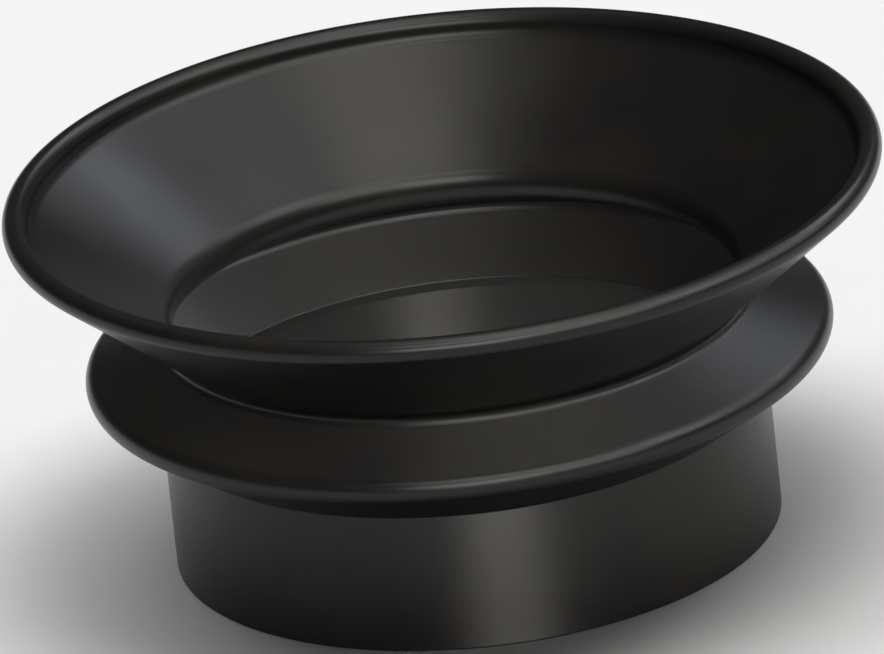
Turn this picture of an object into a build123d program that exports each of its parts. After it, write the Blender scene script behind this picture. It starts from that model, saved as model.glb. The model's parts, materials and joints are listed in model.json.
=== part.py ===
from build123d import *

import os
from math import sqrt

# Flared bellows boot of a kitchen food-waste disposer: a straight sleeve that is clamped on the sink
# flange's throat, one outward fold, and a funnel-shaped flare with a beaded rim. It is moulded in one
# shot of black rubber. Here it is divided at the levels where it bends, so that each stiff ring and
# each flexing band of wall is a piece of its own.
#
# Millimetres, +Z up. The origin is on the boot's axis, level with the sleeve's lower edge.
# Every piece is a body of revolution about Z. Its section is drawn on the XZ plane, radius along X.

# ---------------------------------------------------------------- driving dimensions
# Sleeve
sleeve_bore = 85.0
sleeve_wall = 2.8
sleeve_height = 21.6  # lower edge to the outside corner where the fold leaves
shoulder_rise = 1.4  # how far the bore runs on above that outside corner

# Fold: two thin walls that meet in an outward crest
fold_depth = 10.6  # crest beyond the sleeve's outside
fold_wall = 1.0  # at the crest; both walls thicken away from it
crest_radius = 2.3  # outside rounding
lower_wall_rise = 8.1  # outside corner to the level of the crest
upper_wall_rise = 6.9  # level of the crest to the level of the groove

# Waist: the throat between the fold and the flare
waist_inset = 0.5  # throat inside the bore
waist_wall = 2.2
waist_radius = 3.5  # inside rounding
waist_lift = 1.4  # inside rounding's centre above the groove's
groove_radius = 1.1  # outside groove

# Flare and rim
rim_diameter = 131.3
flare_rise = 19.35  # level of the groove to the level of the bead
bead_diameter = 3.6
step_radius = 2.3  # hollow between the flare's inside face and the bead
step_turn = 4.0  # where the hollow meets the bead, in degrees below level
neck_depth = 2.4  # the thin end of the flare, below the bead's underside

# How each fold wall's height is shared by its three bending bands
stroke_share = 0.43  # axial movement
tilt_share = (1 - stroke_share) / 2  # each of the two tilts

# ---------------------------------------------------------------- places that follow from them
bore_radius = sleeve_bore / 2
sleeve_radius = bore_radius + sleeve_wall
crest_edge = sleeve_radius + fold_depth
waist_edge = bore_radius - waist_inset
rim_radius = rim_diameter / 2
bead_radius = bead_diameter / 2
crest_inner_radius = crest_radius - fold_wall

outer_shoulder = Vector(sleeve_radius, sleeve_height)
inner_shoulder = outer_shoulder + Vector(-sleeve_wall, shoulder_rise)
crest_centre = Vector(crest_edge - crest_radius, sleeve_height + lower_wall_rise)
groove_centre = Vector(waist_edge + waist_wall + groove_radius, crest_centre.Y + upper_wall_rise)
waist_centre = Vector(waist_edge + waist_radius, groove_centre.Y + waist_lift)
bead_centre = Vector(rim_radius - bead_radius, groove_centre.Y + flare_rise)
overall_height = bead_centre.Y + bead_radius

# The hollow step touches the bead from inside
to_step = Vector(-1, 0).rotate(Axis.Z, step_turn)
step_on_bead = bead_centre + to_step * bead_radius
step_centre = step_on_bead + to_step * step_radius


def straight_run(start, start_radius, end, end_radius):
    """Ends of the straight run that leaves one rounding and meets the next without a corner.

    A rounding is given by its centre and radius. The radius is positive where the outline turns left
    round the centre, negative where it turns right, and 0 at a sharp corner.
    """
    along = end - start
    forward = along.normalized()
    lean = (end_radius - start_radius) / along.length
    to_left = Vector(-forward.Y, forward.X) * sqrt(1 - lean**2) + forward * lean
    return start - to_left * start_radius, end - to_left * end_radius


# Outside of the boot, from the sleeve up to the bead
_, lower_head = straight_run(outer_shoulder, 0, crest_centre, crest_radius)
upper_foot, upper_head = straight_run(crest_centre, crest_radius, groove_centre, -groove_radius)
flare_foot, flare_head = straight_run(groove_centre, -groove_radius, bead_centre, bead_radius)

# Inside of the boot, from the step down to the bore
inner_flare_head, inner_flare_foot = straight_run(
    step_centre, -step_radius, waist_centre, waist_radius
)
inner_upper_head, inner_upper_foot = straight_run(
    waist_centre, waist_radius, crest_centre, -crest_inner_radius
)
inner_lower_head, _ = straight_run(crest_centre, -crest_inner_radius, inner_shoulder, 0)

# Levels that divide the boot. Each fold wall ends where its face inside or outside starts to round.
crest_low = inner_lower_head.Y
crest_high = inner_upper_foot.Y
waist_low = upper_head.Y
waist_high = inner_flare_foot.Y
bead_low = bead_centre.Y - bead_radius
neck_low = bead_low - neck_depth

lower_wall_height = crest_low - sleeve_height
upper_wall_height = waist_low - crest_high
lower_first_cut = sleeve_height + tilt_share * lower_wall_height
lower_second_cut = lower_first_cut + tilt_share * lower_wall_height
upper_first_cut = crest_high + stroke_share * upper_wall_height
upper_second_cut = upper_first_cut + tilt_share * upper_wall_height


def boot_outline():
    """Draws the whole boot's section as a face in the sketch that is open."""
    right, up = Vector(1, 0), Vector(0, 1)
    bead_top = bead_centre + up * bead_radius
    bead_shoulder = bead_centre + (up - right).normalized() * bead_radius
    step_chord = (step_on_bead + inner_flare_head) / 2 - step_centre
    step_bottom = step_centre + step_chord.normalized() * step_radius
    with BuildLine() as outline:
        Line(right * sleeve_radius, outer_shoulder)
        Line(outer_shoulder, lower_head)
        ThreePointArc(lower_head, crest_centre + right * crest_radius, upper_foot)
        Line(upper_foot, upper_head)
        ThreePointArc(upper_head, groove_centre - right * groove_radius, flare_foot)
        Line(flare_foot, flare_head)
        ThreePointArc(flare_head, bead_centre + right * bead_radius, bead_top)
        ThreePointArc(bead_top, bead_shoulder, step_on_bead)
        ThreePointArc(step_on_bead, step_bottom, inner_flare_head)
        Line(inner_flare_head, inner_flare_foot)
        ThreePointArc(inner_flare_foot, waist_centre - right * waist_radius, inner_upper_head)
        Line(inner_upper_head, inner_upper_foot)
        ThreePointArc(inner_upper_foot, crest_centre + right * crest_inner_radius, inner_lower_head)
        Line(inner_lower_head, inner_shoulder)
        Line(inner_shoulder, right * bore_radius)
        Line(right * bore_radius, right * sleeve_radius)
    make_face(outline.edges())


def keep_levels(low, high):
    """Trims the open sketch to the stretch between two levels."""
    with Locations((0, low)):
        Rectangle(rim_radius, high - low, align=(Align.MIN, Align.MIN), mode=Mode.INTERSECT)


def save(piece, name):
    """Labels a finished piece and writes it as its own STEP file."""
    piece.part.label = name
    export_step(piece.part, f"parts/{name}.step")


os.makedirs("parts", exist_ok=True)

# ---------------------------------------------------------------- sleeve
# Thick straight tube, clamped from outside by a band and open at both ends.
with BuildPart() as sleeve:
    with BuildSketch(Plane.XZ):
        with Locations((bore_radius, 0)):
            Rectangle(sleeve_wall, sleeve_height, align=(Align.MIN, Align.MIN))
    revolve(axis=Axis.Z)
save(sleeve, "sleeve")

# ---------------------------------------------------------------- fold walls
# Each wall thins towards the crest and bends in three level bands: two take up the tilts, and the
# one nearest the crest takes up the axial stroke.
wall_bands = {
    "lower_wall_inner_band": (sleeve_height, lower_first_cut),
    "lower_wall_middle_band": (lower_first_cut, lower_second_cut),
    "lower_wall_outer_band": (lower_second_cut, crest_low),
    "upper_wall_outer_band": (crest_high, upper_first_cut),
    "upper_wall_middle_band": (upper_first_cut, upper_second_cut),
    "upper_wall_inner_band": (upper_second_cut, waist_low),
}
for band_name, (band_low, band_high) in wall_bands.items():
    with BuildPart() as wall_band:
        with BuildSketch(Plane.XZ):
            boot_outline()
            keep_levels(band_low, band_high)
        revolve(axis=Axis.Z)
    save(wall_band, band_name)

# ---------------------------------------------------------------- crest ring
# The outward fold's rounded edge, which stays round while the walls bend on both sides of it.
with BuildPart() as crest_ring:
    with BuildSketch(Plane.XZ):
        boot_outline()
        keep_levels(crest_low, crest_high)
    revolve(axis=Axis.Z)
save(crest_ring, "crest_ring")

# ---------------------------------------------------------------- waist ring
# The throat: a thick rounded lip inside and a narrow groove outside.
with BuildPart() as waist_ring:
    with BuildSketch(Plane.XZ):
        boot_outline()
        keep_levels(waist_low, waist_high)
    revolve(axis=Axis.Z)
save(waist_ring, "waist_ring")

# ---------------------------------------------------------------- flare and rim
# Funnel wall, thicker at the waist than at the rim.
with BuildPart() as flare_wall:
    with BuildSketch(Plane.XZ):
        boot_outline()
        keep_levels(waist_high, neck_low)
    revolve(axis=Axis.Z)
save(flare_wall, "flare_wall")

# The flare's thin end just below the bead, hollowed inside by the step.
with BuildPart() as rim_neck:
    with BuildSketch(Plane.XZ):
        boot_outline()
        keep_levels(neck_low, bead_low)
    revolve(axis=Axis.Z)
save(rim_neck, "rim_neck")

# The solid round bead that stiffens the rim.
with BuildPart() as rim_bead:
    with BuildSketch(Plane.XZ):
        boot_outline()
        keep_levels(bead_low, overall_height)
    revolve(axis=Axis.Z)
save(rim_bead, "rim_bead")
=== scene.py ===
"""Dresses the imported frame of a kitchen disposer's flared rubber boot and sets it in a small studio.

The boot is one moulding of black rubber, round about Z: a straight sleeve, an outward bellows fold, a
thick waist and a funnel-shaped flare with a beaded rim. Each ring and each bending band of it is turned
here as a fine mesh of its own, all from one outline, so that they meet without a step or a seam.

Sizes in the classes are in millimetres. Heights are above the sleeve's lower edge, and radii are from
the boot's axis.
"""

import json
import logging
import math
from dataclasses import dataclass, field, replace
from enum import Enum
from itertools import groupby, product
from typing import NamedTuple

import bpy
import numpy as np
from mathutils import Matrix, Vector


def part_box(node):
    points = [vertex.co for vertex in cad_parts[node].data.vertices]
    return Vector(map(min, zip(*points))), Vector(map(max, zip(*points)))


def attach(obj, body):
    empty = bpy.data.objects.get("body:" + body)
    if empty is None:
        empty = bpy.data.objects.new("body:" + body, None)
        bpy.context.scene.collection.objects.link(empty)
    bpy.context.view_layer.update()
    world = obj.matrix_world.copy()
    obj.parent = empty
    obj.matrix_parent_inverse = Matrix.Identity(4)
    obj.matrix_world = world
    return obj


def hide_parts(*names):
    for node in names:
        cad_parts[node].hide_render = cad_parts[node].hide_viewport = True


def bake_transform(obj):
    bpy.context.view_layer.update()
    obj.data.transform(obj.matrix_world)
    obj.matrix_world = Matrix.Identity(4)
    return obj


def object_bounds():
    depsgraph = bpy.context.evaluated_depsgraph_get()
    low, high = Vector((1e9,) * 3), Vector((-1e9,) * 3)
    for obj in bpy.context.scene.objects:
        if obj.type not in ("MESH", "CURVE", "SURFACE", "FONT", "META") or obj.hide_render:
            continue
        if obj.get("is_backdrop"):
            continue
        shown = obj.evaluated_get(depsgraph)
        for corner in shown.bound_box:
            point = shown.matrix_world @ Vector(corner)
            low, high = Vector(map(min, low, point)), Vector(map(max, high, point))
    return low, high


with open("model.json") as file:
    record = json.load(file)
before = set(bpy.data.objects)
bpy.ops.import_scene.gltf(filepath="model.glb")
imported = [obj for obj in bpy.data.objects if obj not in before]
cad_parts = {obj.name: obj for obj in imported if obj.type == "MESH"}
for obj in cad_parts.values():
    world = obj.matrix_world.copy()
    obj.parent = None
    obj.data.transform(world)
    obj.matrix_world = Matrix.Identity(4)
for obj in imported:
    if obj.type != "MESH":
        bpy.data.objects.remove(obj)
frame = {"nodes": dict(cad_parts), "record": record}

MM = 0.001
RUBBED = "rubbed_edge"  # mesh attribute that says how worn each point is, from 0 to 1
TOUCHING = 0.002  # two places nearer than this, in millimetres, are one
LEVEL_DIGITS = 5  # pieces that meet give their level alike to this many places

# Distance between rows of faces along a straight run, in millimetres
PLAIN_ROWS = 2.0
FLARE_ROWS = 1.2
FOOT_ROWS = 1.0
BENDING_ROWS = 0.4

log = logging.getLogger("boot")


# ---------------------------------------------------------------- small helpers
class Span(NamedTuple):
    """How far a node reaches in the frame.

    Attributes:
        low: its lowest level.
        high: its highest level.
        radius: its largest radius.
    """

    low: float
    high: float
    radius: float


def node_span(node: str) -> Span:
    """Reads how far a node reaches in the frame.

    Args:
        node: name of the CAD node.

    Returns:
        Its levels and its radius, in millimetres.
    """
    low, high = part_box(node)
    return Span(low.z / MM, high.z / MM, high.x / MM)


def mount_sizes(name: str) -> dict[str, float]:
    """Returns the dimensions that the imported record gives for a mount."""
    return next(mount["dims"] for mount in frame["record"]["mounts"] if mount["name"] == name)


def linear(hex_colour: str) -> tuple[float, float, float, float]:
    """Turns a written colour into the one that a shader takes.

    Args:
        hex_colour: sRGB colour as six hex digits.

    Returns:
        Linear red, green and blue, and an alpha of 1.
    """
    channels = [int(hex_colour[i : i + 2], 16) / 255 for i in (0, 2, 4)]
    red, green, blue = (
        value / 12.92 if value <= 0.04045 else ((value + 0.055) / 1.055) ** 2.4 for value in channels
    )
    return red, green, blue, 1.0


def add_object(name: str, data: bpy.types.ID) -> bpy.types.Object:
    """Puts a new object into the scene.

    Args:
        name: name of the object.
        data: its mesh, light or camera.

    Returns:
        The object.
    """
    thing = bpy.data.objects.new(name, data)
    bpy.context.scene.collection.objects.link(thing)
    return thing


def empty_tree(owner: bpy.types.Material | bpy.types.World) -> bpy.types.NodeTree:
    """Gives a material or the surroundings a node tree with nothing in it.

    Args:
        owner: the material or the surroundings.

    Returns:
        The node tree.
    """
    owner.use_nodes = True
    owner.node_tree.nodes.clear()
    return owner.node_tree


def add_node(
    tree: bpy.types.NodeTree,
    kind: str,
    inputs: dict[str | int, object] | None = None,
    **settings: object,
) -> bpy.types.Node:
    """Adds a node and connects it.

    Args:
        tree: node tree that it goes into.
        kind: Blender's name of the node's type.
        inputs: for each input, by name or number, a value or the output socket that feeds it.
        settings: properties of the node itself.

    Returns:
        The new node.
    """
    node = tree.nodes.new(kind)
    for name, value in settings.items():
        setattr(node, name, value)
    for name, value in (inputs or {}).items():
        if isinstance(value, bpy.types.NodeSocket):
            tree.links.new(value, node.inputs[name])
        else:
            node.inputs[name].default_value = value
    return node


# ---------------------------------------------------------------- outline
@dataclass(frozen=True)
class Turn:
    """A rounding that the boot's outline passes, up the outside and then down the inside.

    Attributes:
        radius: distance of the rounding's centre from the boot's axis.
        height: level of its centre.
        rounding: radius of the rounding, positive on a convex edge and negative in a hollow.
        ease: small radius that takes the sharpness off a corner, where the rounding is 0.
        spacing: distance between rows of faces along the straight run that follows.
    """

    radius: float
    height: float
    rounding: float = 0.0
    ease: float = 0.0
    spacing: float = PLAIN_ROWS

    @property
    def centre(self) -> np.ndarray:
        """Centre as radius and height."""
        return np.array([self.radius, self.height])

    def facing_towards(self, following: "Turn") -> np.ndarray:
        """Finds which way the straight run to the next rounding faces.

        Args:
            following: the rounding that the run meets.

        Returns:
            Unit normal that points out of the rubber.
        """
        along = following.centre - self.centre
        length = float(np.linalg.norm(along))
        forward = along / length
        lean = (self.rounding - following.rounding) / length
        outward = np.array([forward[1], -forward[0]])
        return outward * math.sqrt(max(0.0, 1 - lean**2)) + forward * lean

    def eased(self, arriving: np.ndarray, leaving: np.ndarray) -> "Turn":
        """Takes the sharpness off a corner without moving the runs that meet there.

        Args:
            arriving: normal of the run before it.
            leaving: normal of the run after it.

        Returns:
            The same rounding, or the small one that replaces a sharp corner.
        """
        if not self.ease:
            return self
        convex = arriving[0] * leaving[1] > arriving[1] * leaving[0]
        rounding = self.ease if convex else -self.ease
        radius, height = self.centre - (arriving + leaving) / (1 + arriving @ leaving) * rounding
        return replace(self, radius=radius, height=height, rounding=rounding)


@dataclass(frozen=True)
class Row:
    """One point of the outline, which becomes a row of vertices round the boot.

    Attributes:
        place: radius and height.
        facing: unit normal of the surface there, as radius and height.
        rubbed: how much of a convex edge it is, from 0 to 1.
    """

    place: np.ndarray
    facing: np.ndarray
    rubbed: float = 0.0

    @property
    def height(self) -> float:
        """Level of the row."""
        return float(self.place[1])

    def towards(self, other: "Row", share: float) -> "Row":
        """Makes a row between this one and another.

        Args:
            other: the row at the far end.
            share: how far along, from 0 to 1.

        Returns:
            The row there.
        """
        facing = self.facing + (other.facing - self.facing) * share
        return Row(
            self.place + (other.place - self.place) * share,
            facing / np.linalg.norm(facing),
            self.rubbed + (other.rubbed - self.rubbed) * share,
        )


@dataclass
class Outline:
    """The boot's whole section: a closed belt that runs straight from each rounding to the next.

    Attributes:
        turns: the roundings in order, with the rubber on the left.
        levels: levels where the boot is divided into pieces.
        arc_step: degrees between rows on a rounding.
        rows: all the rows, in the order of the roundings.
    """

    turns: list[Turn]
    levels: list[float]
    arc_step: float = 7.5
    rows: list[Row] = field(init=False, default_factory=list)

    def __post_init__(self) -> None:
        """Works out all the rows once, so that neighbouring pieces share those where they meet."""
        following = self.turns[1:] + self.turns[:1]
        leaving = [turn.facing_towards(after) for turn, after in zip(self.turns, following)]
        arriving = leaving[-1:] + leaving[:-1]
        eased = [turn.eased(*facings) for turn, *facings in zip(self.turns, arriving, leaving)]
        for turn, after, *facings in zip(eased, eased[1:] + eased[:1], arriving, leaving):
            for row in self.rounding_rows(turn, *facings) + self.run_rows(turn, after, facings[1]):
                if not self.rows or np.linalg.norm(row.place - self.rows[-1].place) > TOUCHING:
                    self.rows.append(row)
        for level in self.levels:
            self.add_level(level)

    def rounding_rows(self, turn: Turn, arriving: np.ndarray, leaving: np.ndarray) -> list[Row]:
        """Places rows along a rounding.

        Args:
            turn: the rounding.
            arriving: normal of the run before it.
            leaving: normal of the run after it.

        Returns:
            Rows from one end of the rounding to the other.
        """
        start, end = (math.atan2(facing[1], facing[0]) for facing in (arriving, leaving))
        convex = turn.rounding > 0
        swing = (end - start) % math.tau if convex else -((start - end) % math.tau)
        steps = max(2, math.ceil(abs(math.degrees(swing)) / self.arc_step))
        rows = []
        for k in range(steps + 1):
            angle = start + swing * k / steps
            facing = np.array([math.cos(angle), math.sin(angle)])
            rubbed = math.sin(math.pi * k / steps) if convex else 0.0
            rows.append(Row(turn.centre + facing * turn.rounding, facing, rubbed))
        return rows

    @staticmethod
    def run_rows(turn: Turn, following: Turn, facing: np.ndarray) -> list[Row]:
        """Places rows inside the straight run between two roundings.

        Args:
            turn: rounding that the run leaves.
            following: rounding that it meets.
            facing: the run's normal.

        Returns:
            Rows between the run's two ends, without the ends.
        """
        start = turn.centre + facing * turn.rounding
        along = following.centre + facing * following.rounding - start
        steps = max(1, round(float(np.linalg.norm(along)) / turn.spacing))
        return [Row(start + along * k / steps, facing) for k in range(1, steps)]

    def add_level(self, level: float) -> None:
        """Adds a row on each side of the rubber where the outline crosses a level."""
        rows = []
        for row, after in zip(self.rows, self.rows[1:] + self.rows[:1]):
            rows.append(row)
            below, above = sorted((row.height, after.height))
            if below + TOUCHING < level < above - TOUCHING:
                rows.append(row.towards(after, (level - row.height) / (after.height - row.height)))
        self.rows = rows

    def between(self, low: float, high: float) -> list[list[Row]]:
        """Takes the outline between two of the levels.

        Args:
            low: lower level.
            high: upper level.

        Returns:
            One stretch of rows where the outline closes at an end of the boot, and otherwise two:
            up one side of the rubber and down the other.
        """

        def inside(row: Row) -> bool:
            """Returns whether a row lies between the two levels."""
            return low - TOUCHING < row.height < high + TOUCHING

        first = next(i for i, row in enumerate(self.rows) if not inside(row))
        in_order = self.rows[first:] + self.rows[:first]
        return [list(stretch) for held, stretch in groupby(in_order, key=inside) if held]


def lathe(name: str, stretches: list[list[Row]], columns: int) -> bpy.types.Object:
    """Turns stretches of outline round the axis into one closed ring.

    Args:
        name: name of the new object.
        stretches: stretches of the outline. A level face joins the end of each to the next.
        columns: faces round the ring.

    Returns:
        The ring, shaded by the outline's own normals.
    """
    rows = [row for stretch in stretches for row in stretch]
    last_rows = np.cumsum([len(stretch) for stretch in stretches]) - 1
    angles = np.arange(columns) * math.tau / columns
    around = np.stack([np.cos(angles), np.sin(angles)], axis=1)

    places = np.array([row.place for row in rows]) * MM
    vertices = np.empty((len(rows), columns, 3))
    vertices[..., :2] = places[:, None, :1] * around
    vertices[..., 2] = places[:, None, 1]

    row, column = np.meshgrid(np.arange(len(rows)), np.arange(columns), indexing="ij")
    next_row, next_column = (row + 1) % len(rows), (column + 1) % columns
    corner_rows = np.stack([row, row, next_row, next_row], axis=-1)
    corner_columns = np.stack([column, next_column, next_column, column], axis=-1)

    facings = np.array([row.facing for row in rows])
    normals = np.empty((*corner_rows.shape, 3))
    normals[..., :2] = facings[corner_rows][..., :1] * around[corner_columns]
    normals[..., 2] = facings[corner_rows][..., 1]
    if len(stretches) > 1:
        for k in last_rows:
            here, there = places[k], places[(k + 1) % len(rows)]
            normals[k] = (0, 0, math.copysign(1, here[0] - there[0]))

    mesh = bpy.data.meshes.new(name)
    corners = corner_rows * columns + corner_columns
    mesh.from_pydata(vertices.reshape(-1, 3).tolist(), [], corners.reshape(-1, 4).tolist())
    mesh.normals_split_custom_set(normals.reshape(-1, 3).tolist())
    rubbed = mesh.attributes.new(RUBBED, "FLOAT", "POINT")
    rubbed.data.foreach_set("value", np.repeat([row.rubbed for row in rows], columns))

    return add_object(name, mesh)


# ---------------------------------------------------------------- finishes
@dataclass(frozen=True)
class MouldedRubber:
    """Black nitrile rubber, compression moulded in a satin, spark-eroded steel mould.

    It gives the eye a deep black with soft, broad highlights and no mirror image. Close up the light
    breaks on a fine grain, the gloss clouds a little where the mould was waxed, and the bead and the
    crest are rubbed smoother than the walls.

    Attributes:
        black: colour of the body of the rubber.
        bloom: the slightly browner black where wax and antioxidant have come to the surface.
        rubbed: the greyer black of handled edges.
        ior: index of refraction of carbon-filled nitrile rubber.
        specular: strength of the reflection on a scale where 0.5 is the index's own. The carbon
            near the skin dulls it.
        roughness: roughness of the walls.
        roughness_play: how much the gloss clouds to each side of that.
        rubbed_gloss: how much less rough a handled edge is.
        cloud_size: distance across a cloud of gloss.
        mottle_size: distance across the finer mottling inside the clouds.
        grain_size: spacing of the grain. The mould's own pits are near 0.05 mm apart, too fine to
            show here, so they are drawn coarser.
        grain_depth: height of the grain.
        layers: how many ever finer layers the clouds, the mottling and the grain have.
        layer_share: strength of each layer as a share of the one before.
        bloom_span: where on the clouds' scale, from 0 to 1, the bloom sets in and where it is full.
        gloss_span: the part of the clouds' scale over which the gloss changes.
    """

    black: str = "100f0f"
    bloom: str = "151412"
    rubbed: str = "1b1a19"
    ior: float = 1.52
    specular: float = 0.28
    roughness: float = 0.33
    roughness_play: float = 0.04
    rubbed_gloss: float = 0.05
    cloud_size: float = 26.0
    mottle_size: float = 2.6
    grain_size: float = 0.35
    grain_depth: float = 0.002
    layers: tuple[float, float, float] = (3.0, 2.0, 1.0)
    layer_share: float = 0.55
    bloom_span: tuple[float, float] = (0.42, 0.68)
    gloss_span: tuple[float, float] = (0.3, 0.7)

    def material(self) -> bpy.types.Material:
        """Builds the material.

        Returns:
            Material for every piece of the boot. Its patterns lie in the boot's own frame, so they run
            on from one piece to the next.
        """
        material = bpy.data.materials.new("satin_black_moulded_rubber")
        tree = empty_tree(material)
        place = add_node(tree, "ShaderNodeTexCoord").outputs["Object"]
        sizes = (self.cloud_size, self.mottle_size, self.grain_size)
        clouds, mottle, grain = (
            add_node(
                tree,
                "ShaderNodeTexNoise",
                {
                    "Vector": place,
                    "Scale": 1 / (size * MM),
                    "Detail": layers,
                    "Roughness": self.layer_share,
                },
            ).outputs["Fac"]
            for size, layers in zip(sizes, self.layers)
        )
        edge = add_node(tree, "ShaderNodeAttribute", attribute_name=RUBBED).outputs["Fac"]
        worn = add_node(
            tree, "ShaderNodeMath", {0: edge, 1: mottle}, operation="MULTIPLY"
        ).outputs["Value"]

        bloomed = add_node(
            tree,
            "ShaderNodeMapRange",
            {"Value": clouds, "From Min": self.bloom_span[0], "From Max": self.bloom_span[1]},
        ).outputs["Result"]
        walls = add_node(
            tree,
            "ShaderNodeMix",
            {"Factor": bloomed, "A": linear(self.black), "B": linear(self.bloom)},
            data_type="RGBA",
        )
        colour = add_node(
            tree,
            "ShaderNodeMix",
            {"Factor": worn, "A": walls.outputs["Result"], "B": linear(self.rubbed)},
            data_type="RGBA",
        )
        gloss = add_node(
            tree,
            "ShaderNodeMapRange",
            {
                "Value": clouds,
                "From Min": self.gloss_span[0],
                "From Max": self.gloss_span[1],
                "To Min": self.roughness - self.roughness_play,
                "To Max": self.roughness + self.roughness_play,
            },
        ).outputs["Result"]
        smoother = add_node(
            tree, "ShaderNodeMath", {0: worn, 1: -self.rubbed_gloss, 2: gloss}, operation="MULTIPLY_ADD"
        ).outputs["Value"]
        relief = add_node(
            tree,
            "ShaderNodeBump",
            {"Strength": 1.0, "Distance": self.grain_depth * MM, "Height": grain},
        ).outputs["Normal"]
        rubber = add_node(
            tree,
            "ShaderNodeBsdfPrincipled",
            {
                "Base Color": colour.outputs["Result"],
                "Roughness": smoother,
                "IOR": self.ior,
                "Specular IOR Level": self.specular,
                "Normal": relief,
            },
        )
        add_node(tree, "ShaderNodeOutputMaterial", {"Surface": rubber.outputs["BSDF"]})
        return material


@dataclass(frozen=True)
class StudioPaper:
    """Seamless background paper, uncoated, which gives the eye an even white with no sheen.

    Attributes:
        white: colour of the paper.
        pulp: the slightly darker white of its faint clouds.
        bounce: colour that it passes on to the boot's underside as stray light, darker than it
            looks, as if black flags lay just outside the view.
        roughness: roughness of its uncoated face.
        specular: strength of its reflection. It has no coat that could reflect.
        pulp_size: distance across a cloud. Single fibres are near 0.03 mm, too fine to show.
    """

    white: str = "f5f5f5"
    pulp: str = "f2f2f1"
    bounce: str = "303030"
    roughness: float = 0.95
    specular: float = 0.0
    pulp_size: float = 30.0

    def material(self) -> bpy.types.Material:
        """Builds the material.

        Returns:
            Material for the floor.
        """
        material = bpy.data.materials.new("white_background_paper")
        tree = empty_tree(material)
        place = add_node(tree, "ShaderNodeTexCoord").outputs["Object"]
        clouds = add_node(
            tree, "ShaderNodeTexNoise", {"Vector": place, "Scale": 1 / (self.pulp_size * MM)}
        ).outputs["Fac"]
        paper = add_node(
            tree,
            "ShaderNodeMix",
            {"Factor": clouds, "A": linear(self.white), "B": linear(self.pulp)},
            data_type="RGBA",
        ).outputs["Result"]
        ray = add_node(tree, "ShaderNodeLightPath").outputs
        seen = ray["Is Camera Ray"]
        for kind in ("Is Glossy Ray", "Is Transmission Ray"):
            seen = add_node(
                tree, "ShaderNodeMath", {0: seen, 1: ray[kind]}, operation="MAXIMUM"
            ).outputs["Value"]
        colour = add_node(
            tree,
            "ShaderNodeMix",
            {"Factor": seen, "A": linear(self.bounce), "B": paper},
            data_type="RGBA",
        ).outputs["Result"]
        surface = add_node(
            tree,
            "ShaderNodeBsdfPrincipled",
            {"Base Color": colour, "Roughness": self.roughness, "Specular IOR Level": self.specular},
        )
        add_node(tree, "ShaderNodeOutputMaterial", {"Surface": surface.outputs["BSDF"]})
        return material


# ---------------------------------------------------------------- pieces
class Bond(Enum):
    """How a piece is fastened to the frame's bodies: a stiff one rides on its body, and a bending one
    is only baked in place.
    """

    STIFF = "rides on its node's body"
    BENDING = "bends between the two bodies of its node's joint"


@dataclass
class SubAssembly:
    """Rings of the boot that belong together. Each stands for one CAD node and is named after it.

    Attributes:
        columns: faces round each ring.
    """

    columns: int = 240

    def bonds(self) -> dict[str, Bond]:
        """Returns the CAD nodes that the sub-assembly stands for, and how each piece moves."""
        raise NotImplementedError

    def build(self, outline: Outline, rubber: bpy.types.Material) -> list[bpy.types.Object]:
        """Makes, dresses and fastens every piece.

        Args:
            outline: the boot's whole section.
            rubber: material of the pieces.

        Returns:
            The pieces.
        """
        pieces = []
        for node, bond in self.bonds().items():
            span = node_span(node)
            piece = lathe(f"rubber_{node}", outline.between(span.low, span.high), self.columns)
            piece.data.materials.append(rubber)
            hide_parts(node)
            self.fasten(piece, node, bond)
            log.info("%s: %d faces, %s", piece.name, len(piece.data.polygons), bond.value)
            pieces.append(piece)
        return pieces

    @staticmethod
    def fasten(piece: bpy.types.Object, node: str, bond: Bond) -> None:
        """Hangs a stiff piece on its node's body, and bakes a bending piece's place into its mesh
        without making it bend.

        Args:
            piece: the piece.
            node: CAD node that it stands for.
            bond: how it follows.
        """
        if bond is Bond.STIFF:
            bodies = frame["record"]["behaviour"]["bodies"]
            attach(piece, next(body for body, nodes in bodies.items() if node in nodes))
            return
        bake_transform(piece)


@dataclass
class Sleeve(SubAssembly):
    """Straight thick tube that a band clamp closes on the sink flange's throat.

    Attributes:
        foot_ease: rounding of the square-cut foot's two edges.
        shoulder_ease: rounding in the outside corner where the fold leaves.
        lip_ease: rounding of the bore's upper edge.
    """

    foot_ease: float = 0.25
    shoulder_ease: float = 0.4
    lip_ease: float = 0.25

    def bonds(self) -> dict[str, Bond]:
        """Returns the sleeve alone, which is stiff."""
        return {"sleeve": Bond.STIFF}

    def outside(self) -> list[Turn]:
        """Returns the foot's outside edge and the shoulder."""
        low, high, radius = node_span("sleeve")
        return [
            Turn(radius, low, ease=self.foot_ease),
            Turn(radius, high, ease=self.shoulder_ease, spacing=BENDING_ROWS),
        ]

    def inside(self) -> list[Turn]:
        """Returns the bore's upper edge and the foot's inside edge."""
        bore = mount_sizes("sleeve_bore")
        return [
            Turn(bore["r_mm"], bore["length_mm"], ease=self.lip_ease),
            Turn(bore["r_mm"], node_span("sleeve").low, ease=self.foot_ease, spacing=FOOT_ROWS),
        ]


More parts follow.
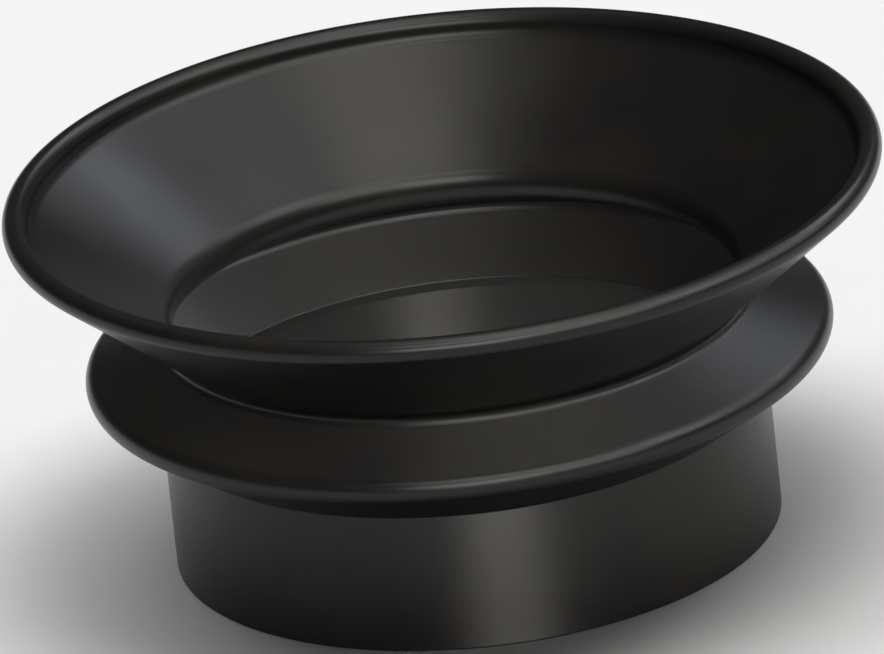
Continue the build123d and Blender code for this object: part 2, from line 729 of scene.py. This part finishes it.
@dataclass
class Fold(SubAssembly):
    """The bellows fold: two thin walls that meet in a rounded crest.

    Attributes:
        crest_rounding: outside rounding of the crest.
        wall: thickness at the crest.
        lower_rise: sleeve's top to the level of the crest.
    """

    crest_rounding: float = 2.3
    wall: float = 1.0
    lower_rise: float = 8.1

    def bonds(self) -> dict[str, Bond]:
        """Returns the crest ring, which is stiff, and the walls' bands, which bend."""
        places = product(("lower", "upper"), ("inner", "middle", "outer"))
        bands = (f"{wall}_wall_{place}_band" for wall, place in places)
        return {"crest_ring": Bond.STIFF, **dict.fromkeys(bands, Bond.BENDING)}

    def crest(self, rounding: float) -> Turn:
        """Returns one of the crest's two roundings, which share a centre."""
        radius = node_span("crest_ring").radius - self.crest_rounding
        return Turn(radius, node_span("sleeve").high + self.lower_rise, rounding, spacing=BENDING_ROWS)

    def outside(self) -> list[Turn]:
        """Returns the crest's outside."""
        return [self.crest(self.crest_rounding)]

    def inside(self) -> list[Turn]:
        """Returns the crest's hollow inside."""
        return [self.crest(self.wall - self.crest_rounding)]


@dataclass
class Waist(SubAssembly):
    """The throat: a thick rounded lip inside and a narrow groove outside.

    Attributes:
        inset: how far the throat stands in from the bore.
        wall: thickness of the throat.
        rounding: rounding of the lip.
        lift: the lip's centre above the groove's.
        groove: rounding of the groove.
        groove_rise: level of the crest to the level of the groove.
    """

    inset: float = 0.5
    wall: float = 2.2
    rounding: float = 3.5
    lift: float = 1.4
    groove: float = 1.1
    groove_rise: float = 6.9

    def bonds(self) -> dict[str, Bond]:
        """Returns the waist ring, which is stiff."""
        return {"waist_ring": Bond.STIFF}

    @property
    def throat(self) -> float:
        """Radius of the throat."""
        return mount_sizes("sleeve_bore")["r_mm"] - self.inset

    def outside(self, crest: Turn) -> list[Turn]:
        """Places the groove.

        Args:
            crest: the crest below it.

        Returns:
            The groove alone.
        """
        radius = self.throat + self.wall + self.groove
        return [Turn(radius, crest.height + self.groove_rise, -self.groove, spacing=FLARE_ROWS)]

    def inside(self, crest: Turn) -> list[Turn]:
        """Places the lip.

        Args:
            crest: the crest below it.

        Returns:
            The lip alone.
        """
        height = crest.height + self.groove_rise + self.lift
        return [Turn(self.throat + self.rounding, height, self.rounding, spacing=BENDING_ROWS)]


@dataclass
class Flare(SubAssembly):
    """The funnel wall, and the round bead that stiffens its rim.

    Attributes:
        hollow: rounding of the hollow between the funnel's inside face and the bead.
        hollow_turn: where the hollow meets the bead, in degrees below level.
    """

    hollow: float = 2.3
    hollow_turn: float = 4.0

    def bonds(self) -> dict[str, Bond]:
        """Returns the funnel wall, the neck and the bead, all stiff."""
        return dict.fromkeys(("flare_wall", "rim_neck", "rim_bead"), Bond.STIFF)

    def turns(self) -> list[Turn]:
        """Returns the bead and the hollow that touches it from inside."""
        low, high, radius = node_span("rim_bead")
        bead = (high - low) / 2
        apart = bead + self.hollow
        turn = math.radians(self.hollow_turn)
        centre = (radius - bead, high - bead)
        hollow = (centre[0] - apart * math.cos(turn), centre[1] - apart * math.sin(turn))
        return [Turn(*centre, bead), Turn(*hollow, -self.hollow, spacing=FLARE_ROWS)]


@dataclass
class Boot:
    """The whole boot, built from its sub-assemblies in order from the foot to the rim.

    Attributes:
        finish: finish of the one moulding.
        sleeve: the clamped tube.
        fold: the bellows fold.
        waist: the throat.
        flare: the funnel and its rim.
    """

    finish: MouldedRubber = MouldedRubber()
    sleeve: Sleeve = field(default_factory=Sleeve)
    fold: Fold = field(default_factory=Fold)
    waist: Waist = field(default_factory=Waist)
    flare: Flare = field(default_factory=Flare)

    def outline(self) -> Outline:
        """Returns the section: up the outside, round the bead and down the inside."""
        crest = self.fold.crest(0.0)
        turns = [
            *self.sleeve.outside(),
            *self.fold.outside(),
            *self.waist.outside(crest),
            *self.flare.turns(),
            *self.waist.inside(crest),
            *self.fold.inside(),
            *self.sleeve.inside(),
        ]
        spans = [node_span(node) for node in frame["nodes"]]
        levels = {round(level, LEVEL_DIGITS) for span in spans for level in (span.low, span.high)}
        return Outline(turns, sorted(levels)[1:-1])

    def build(self) -> list[bpy.types.Object]:
        """Builds every piece of the boot.

        Returns:
            The pieces.
        """
        outline = self.outline()
        rubber = self.finish.material()
        parts = (self.sleeve, self.fold, self.waist, self.flare)
        return [piece for part in parts for piece in part.build(outline, rubber)]


# ---------------------------------------------------------------- studio
class Reach(Enum):
    """What a light falls on, and whether it has shadows."""

    ROOM = "the boot and the floor"
    UPPER = "the flare and its rim, which stand open to the light"
    LOWER = "the waist, fold and sleeve, without shadows, as the flare would hide the light from them"
    SLEEVE = "the sleeve alone, without shadows"
    PAPER = "the floor alone, where the boot still casts its shadow"

    @property
    def shadowless(self) -> bool:
        """Whether the light shines through what stands in its way."""
        return self in (Reach.LOWER, Reach.SLEEVE)


BOOT = (Reach.UPPER, Reach.LOWER)  # a light on the whole boot has one lamp for each
UPPER_PIECES = ("flare", "rim")  # a piece is an upper one if its name holds one of these


@dataclass(frozen=True)
class SoftBox:
    """A flat, even light that faces the boot, with a lamp for each set of things that it falls on.

    Attributes:
        name: what the light is called.
        azimuth: where it stands, in degrees. 0 is towards the camera and 90 to its right.
        elevation: how high it stands, in degrees above level.
        width: across.
        height: up and down.
        brightness: radiance of its face, where 1 shows as white.
        colour: tint as sRGB hex.
        reaches: what it falls on.
        distance: from the boot to the light.
    """

    name: str
    azimuth: float
    elevation: float
    width: float
    height: float
    brightness: float
    colour: str
    reaches: tuple[Reach, ...] = (Reach.ROOM,)
    distance: float = 2400.0

    def build(self, target: Vector, lit: dict[Reach, bpy.types.Collection]) -> None:
        """Sets up the light's lamps.

        Args:
            target: point that it faces, in metres.
            lit: the things that each reach is limited to, where it is limited.
        """
        for reach in self.reaches:
            lamp = self.lamp(f"{self.name}_{reach.name.lower()}", target)
            lamp.light_linking.receiver_collection = lit.get(reach)
            lamp.data.use_shadow = not reach.shadowless
            lamp.data.cycles.use_multiple_importance_sampling = not reach.shadowless

    def lamp(self, name: str, target: Vector) -> bpy.types.Object:
        """Makes one lamp.

        Args:
            name: name of the lamp.
            target: point that it faces, in metres.

        Returns:
            The lamp.
        """
        light = bpy.data.lights.new(name, "AREA")
        light.shape = "RECTANGLE"
        light.size, light.size_y = self.width * MM, self.height * MM
        light.energy = self.brightness * math.pi * light.size * light.size_y
        light.color = linear(self.colour)[:3]
        lamp = add_object(name, light)
        around, up = math.radians(self.azimuth), math.radians(self.elevation)
        level = math.cos(up)
        away = Vector((math.sin(around) * level, -math.cos(around) * level, math.sin(up)))
        lamp.location = target + away * (self.distance * MM)
        lamp.rotation_euler = away.to_track_quat("Z", "Y").to_euler()
        lamp.visible_camera = False
        return lamp


@dataclass
class Camera:
    """A long lens far away, so that the boot shows with next to no perspective.

    Attributes:
        elevation: how far the camera looks down, in degrees.
        roll: how far it is turned clockwise, in degrees.
        distance: from the aim to the camera.
        view_width: how much the view takes in from side to side, at the aim.
        aim: the point in the middle of the view.
        sight: how far the camera sees.
    """

    elevation: float = 22.29
    roll: float = 6.25
    distance: float = 4200.0
    view_width: float = 131.2
    aim: tuple[float, float, float] = (-2.26, -7.98, 36.35)
    sight: float = 20000.0

    def build(self) -> bpy.types.Object:
        """Sets up the camera and makes it the scene's own.

        Returns:
            The camera.
        """
        data = bpy.data.cameras.new("studio_camera")
        data.lens = data.sensor_width * self.distance / self.view_width
        data.clip_end = self.sight * MM
        camera = add_object("studio_camera", data)
        upright = Matrix.Rotation(math.radians(90 - self.elevation), 4, "X")
        turned = upright @ Matrix.Rotation(-math.radians(self.roll), 4, "Z")
        place = (Vector(self.aim) + turned.to_3x3() @ Vector((0, 0, self.distance))) * MM
        camera.matrix_world = Matrix.Translation(place) @ turned
        bpy.context.scene.camera = camera
        return camera


@dataclass
class Studio:
    """Floor, lights, surroundings and camera.

    Attributes:
        paper: finish of the floor.
        floor_radius: size of the floor.
        floor_corners: corners along its edge, which makes it nearly round.
        surround: colour of the room.
        surround_strength: how much light comes back from it.
        boxes: the lights.
        camera: the camera.
    """

    paper: StudioPaper = StudioPaper()
    floor_radius: float = 6000.0
    floor_corners: int = 96
    surround: str = "ffffff"
    surround_strength: float = 0.05
    boxes: tuple[SoftBox, ...] = (
        SoftBox("top_box", 60, 82, 1000, 1000, 3.8, "fffdf8"),
        SoftBox("paper_box", 178, 78, 3400, 1400, 4.1, "fdfeff", (Reach.PAPER,)),
        SoftBox("key_box", 32, 30, 1700, 1200, 3.8, "fffefc", BOOT),
        SoftBox("front_box", -1, 23, 1150, 1000, 6.6, "fffdf8", BOOT),
        SoftBox("front_high_box", 15, 59, 1800, 800, 4.6, "fffdf8", BOOT),
        SoftBox("side_box", 75, 42, 1030, 1290, 4.2, "fffdf8", BOOT),
        SoftBox("side_back_box", 106, 43, 950, 2200, 1.9, "fcfcff", BOOT),
        SoftBox("back_box", 139, 36, 1300, 560, 3.4, "eff4ff", BOOT),
        SoftBox("high_back_box", 158, 72, 1060, 1460, 1.1, "fffcf4", BOOT),
        SoftBox("left_back_box", -145, 52, 1400, 1000, 0.1, "fffcf4", BOOT),
        # Stands lower than the floor, so that the sleeve's upright face shows it to the camera
        SoftBox("low_front_box", 9, -17, 1000, 600, 7.2, "fffcf4", (Reach.SLEEVE,)),
    )
    camera: Camera = field(default_factory=Camera)

    def floor(self) -> bpy.types.Object:
        """Lays the floor that the boot stands on.

        Returns:
            The floor, marked as no part of the boot.
        """
        angles = np.arange(self.floor_corners) * math.tau / self.floor_corners
        edge = np.stack([np.cos(angles), np.sin(angles), np.zeros_like(angles)], axis=1)
        mesh = bpy.data.meshes.new("paper_floor")
        face = list(range(self.floor_corners))
        mesh.from_pydata((edge * self.floor_radius * MM).tolist(), [], [face])
        mesh.materials.append(self.paper.material())
        floor = add_object("paper_floor", mesh)
        floor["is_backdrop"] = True
        return floor

    def world(self) -> None:
        """Fills the surroundings with an even light."""
        world = bpy.data.worlds.new("room")
        tree = empty_tree(world)
        room = add_node(
            tree,
            "ShaderNodeBackground",
            {"Color": linear(self.surround), "Strength": self.surround_strength},
        )
        add_node(tree, "ShaderNodeOutputWorld", {"Surface": room.outputs["Background"]})
        bpy.context.scene.world = world

    @staticmethod
    def gather(
        pieces: list[bpy.types.Object], floor: bpy.types.Object
    ) -> dict[Reach, bpy.types.Collection]:
        """Gathers the things that each limited light falls on.

        Args:
            pieces: the boot's pieces.
            floor: the floor.

        Returns:
            A collection for each reach that is limited.
        """
        upper = [piece for piece in pieces if any(word in piece.name for word in UPPER_PIECES)]
        things = {
            Reach.UPPER: upper,
            Reach.LOWER: [piece for piece in pieces if piece not in upper],
            Reach.SLEEVE: [piece for piece in pieces if "sleeve" in piece.name],
            Reach.PAPER: [floor],
        }
        lit = {reach: bpy.data.collections.new(f"lit_{reach.name.lower()}") for reach in things}
        for reach, collection in lit.items():
            for thing in things[reach]:
                collection.objects.link(thing)
        return lit

    def build(self, pieces: list[bpy.types.Object]) -> None:
        """Sets up the whole studio round the boot.

        Args:
            pieces: the boot's pieces.
        """
        low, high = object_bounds()
        lit = self.gather(pieces, self.floor())
        for box in self.boxes:
            box.build((low + high) / 2, lit)
        self.world()
        self.camera.build()
        bpy.context.scene.view_settings.view_transform = "Standard"


# ---------------------------------------------------------------- assembly
def corners() -> list[list[float]]:
    """Returns the lowest and highest corner of what shows, in metres."""
    return [list(corner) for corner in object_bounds()]


def main() -> None:
    """Builds the boot and the studio."""
    logging.basicConfig(level=logging.INFO, format="%(name)s: %(message)s")
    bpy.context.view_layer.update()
    pieces = Boot().build()
    log.info("%d pieces", len(pieces))
    Studio().build(pieces)


if __name__ == "__main__":
    main()
